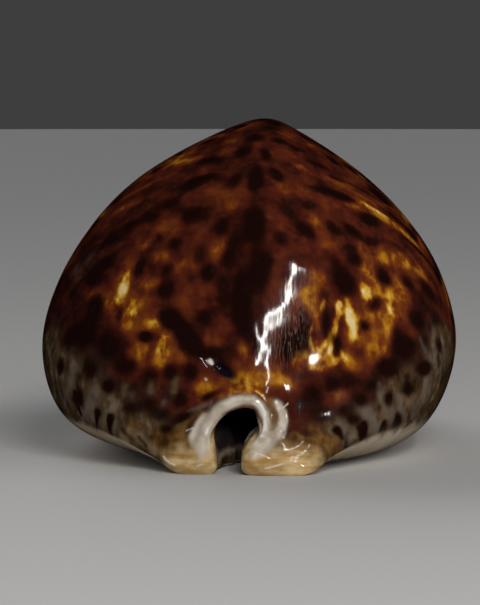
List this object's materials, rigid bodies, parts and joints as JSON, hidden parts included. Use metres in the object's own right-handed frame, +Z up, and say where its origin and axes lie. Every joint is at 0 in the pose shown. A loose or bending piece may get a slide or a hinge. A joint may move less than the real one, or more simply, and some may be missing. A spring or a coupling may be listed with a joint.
{
  "type": "cowrie shell",
  "caption": "Dark, glossy, egg-shaped cowrie shell with a domed spotted back, a flattish base split by a long toothed slit, and a short canal between flanges at each end",
  "frame": {"origin": "on the surface that the shell rests on, under the middle of its bounding box", "axes": "X across the shell, with the outer lip's side at +X; Y along the shell, with the spire's end at -Y; Z up, from the base to the crown of the back"},
  "size_m": [0.0614, 0.087, 0.0486],
  "materials": {
    "shell": "gloss"
  },
  "bodies": {
    "root": {"shell": "shell"}
  },
  "joints": []
}
